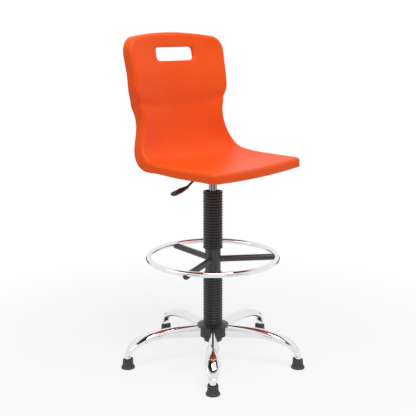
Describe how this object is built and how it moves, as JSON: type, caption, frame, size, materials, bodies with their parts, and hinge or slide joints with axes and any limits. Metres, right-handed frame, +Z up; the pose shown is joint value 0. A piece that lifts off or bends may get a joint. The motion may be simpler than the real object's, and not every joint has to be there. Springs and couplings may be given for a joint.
{
  "type": "drafting chair",
  "caption": "Drafting chair: moulded plastic shell with a hand slot, gas-spring column in ribbed gaiters, foot ring and a chromed star base on glides.",
  "frame": {"origin": "on the floor, on the axis of the column", "axes": "+Z up; the sitter faces -Y; the sitter's right is -X"},
  "size_m": [0.6173, 0.6339, 1.137],
  "materials": {
    "orange_plastic": "fine-textured moulded polypropylene",
    "chrome": "polished chrome plate",
    "black_plastic": "satin moulded",
    "black_rubber": "matt moulded",
    "bellows_rubber": "satin ribbed",
    "black_paint": "semi-matt powder coat",
    "bright_steel": "ground and plated",
    "zinc_steel": "zinc plated",
    "brass": "plain"
  },
  "bodies": {
    "base": {"bearing_balls": "zinc_steel", "bearing_lower_race": "zinc_steel", "column_tube": "black_paint", "guide_bush": "black_plastic", "upper_bellows": "bellows_rubber", "lower_bellows": "bellows_rubber", "ring_hub": "black_paint", "ring_set_screw": "zinc_steel", "spoke_1": "black_paint", "spoke_2": "black_paint", "spoke_3": "black_paint", "spoke_plugs": "black_plastic", "foot_ring": "chrome", "base_hub": "black_paint", "hub_cover": "black_plastic", "leg_1": "chrome", "leg_2": "chrome", "leg_3": "chrome", "leg_4": "chrome", "leg_5": "chrome", "glide_sockets": "chrome", "glide_stems": "zinc_steel", "glide_1": "black_rubber", "glide_2": "black_rubber", "glide_3": "black_rubber", "glide_4": "black_rubber", "glide_5": "black_rubber"},
    "spindle": {"bearing_upper_race": "zinc_steel", "piston_rod": "bright_steel", "rod_washer": "zinc_steel", "rod_clip": "zinc_steel", "rubber_buffer": "black_rubber", "piston": "zinc_steel"},
    "seat": {"gas_cylinder": "bright_steel", "rod_guide": "zinc_steel", "seat_plate": "black_paint", "taper_socket": "black_paint", "lever_bracket": "black_paint", "lever_pivot_pin": "zinc_steel", "seat_bolts": "zinc_steel", "bolt_washers": "zinc_steel", "seat_inserts": "brass", "seat_shell": "orange_plastic"},
    "lever": {"lever_rod": "black_paint", "lever_handle": "black_plastic"},
    "valve": {"valve_pin": "zinc_steel"}
  },
  "joints": [
    {"name": "swivel", "type": "hinge", "parent": "base", "child": "spindle", "pos_m": [0, 0, 0.0705], "axis": [0, 0, 1], "continuous": true},
    {"name": "lift", "type": "slide", "parent": "spindle", "child": "seat", "axis": [0, 0, 1], "range_m": [-0.13, 0], "deforming": ["upper_bellows"]},
    {"name": "lever_lift", "type": "hinge", "parent": "seat", "child": "lever", "pos_m": [-0.03156, -0.00528, 0.676], "axis": [-0.165, 0.9863, 0], "range_deg": [0, 6], "stiffness_Nm_per_rad": 1.5, "springref_deg": -8.59},
    {"name": "valve_press", "type": "slide", "parent": "seat", "child": "valve", "axis": [0, 0, -1], "range_m": [0, 0.0035]}
  ],
  "couplings": [
    {"joint": "valve_press", "follows": "lever_lift", "m_per_rad": 0.032}
  ]
}
